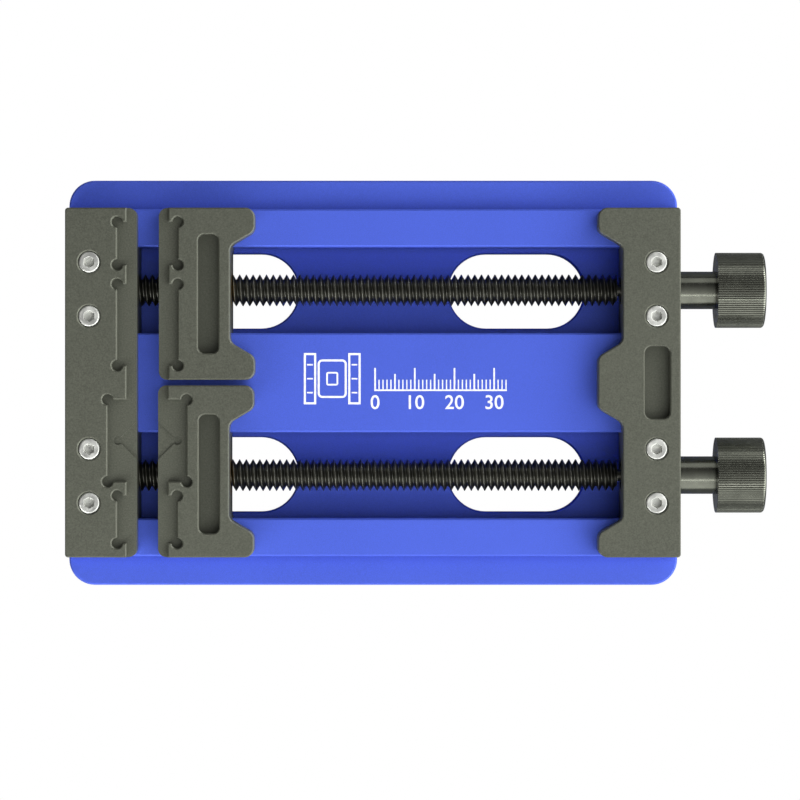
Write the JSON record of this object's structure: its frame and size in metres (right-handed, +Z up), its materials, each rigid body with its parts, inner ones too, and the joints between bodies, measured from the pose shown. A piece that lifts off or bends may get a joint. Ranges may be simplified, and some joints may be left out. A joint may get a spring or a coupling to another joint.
{
  "type": "pcb holder vise",
  "caption": "Bench vise for bare circuit boards: a fixed block, independently sliding jaws on lead screws, and a slotted base plate with knurled knobs.",
  "frame": {"origin": "middle of the base plate, on the bench under the rubber feet", "axes": "+X along the lead screws towards the knobs, +Y towards the rear jaw, +Z up"},
  "size_m": [0.1757, 0.1024, 0.0235],
  "materials": {
    "blue_anodised": "satin blue anodised",
    "grey_anodised": "satin dark grey anodised",
    "steel": "bright zinc",
    "black_steel": "black oxide",
    "bronze": "machined",
    "rubber": "matte"
  },
  "bodies": {
    "base": {"base_plate": "blue_anodised", "rubber_feet": "rubber", "left_block": "grey_anodised", "right_block": "grey_anodised", "left_block_screws": "steel", "right_block_screws": "steel", "rear_end_bush": "bronze", "front_end_bush": "bronze", "rear_drive_bush": "bronze", "front_drive_bush": "bronze"},
    "rear_screw": {"rear_lead_screw": "black_steel", "rear_retaining_clip": "steel", "rear_knob": "grey_anodised", "rear_set_screw": "black_steel"},
    "front_screw": {"front_lead_screw": "black_steel", "front_retaining_clip": "steel", "front_knob": "grey_anodised", "front_set_screw": "black_steel"},
    "rear_jaw": {"rear_jaw_block": "grey_anodised", "rear_jaw_nut": "bronze"},
    "front_jaw": {"front_jaw_block": "grey_anodised", "front_jaw_nut": "bronze"}
  },
  "joints": [
    {"name": "rear_screw_turn", "type": "hinge", "parent": "base", "child": "rear_screw", "pos_m": [0.077, 0.02337, 0.0125], "axis": [1, 0, 0], "range_deg": [-18139.8, 1145.6]},
    {"name": "front_screw_turn", "type": "hinge", "parent": "base", "child": "front_screw", "pos_m": [0.077, -0.02337, 0.0125], "axis": [1, 0, 0], "range_deg": [-18182.1, 1103.3]},
    {"name": "rear_jaw_slide", "type": "slide", "parent": "base", "child": "rear_jaw", "axis": [1, 0, 0], "range_m": [-0.0054, 0.08565]},
    {"name": "front_jaw_slide", "type": "slide", "parent": "base", "child": "front_jaw", "axis": [1, 0, 0], "range_m": [-0.0052, 0.08585]}
  ],
  "couplings": [
    {"joint": "rear_screw_turn", "follows": "rear_jaw_slide", "rad_per_m": -3696},
    {"joint": "front_screw_turn", "follows": "front_jaw_slide", "rad_per_m": -3696}
  ]
}
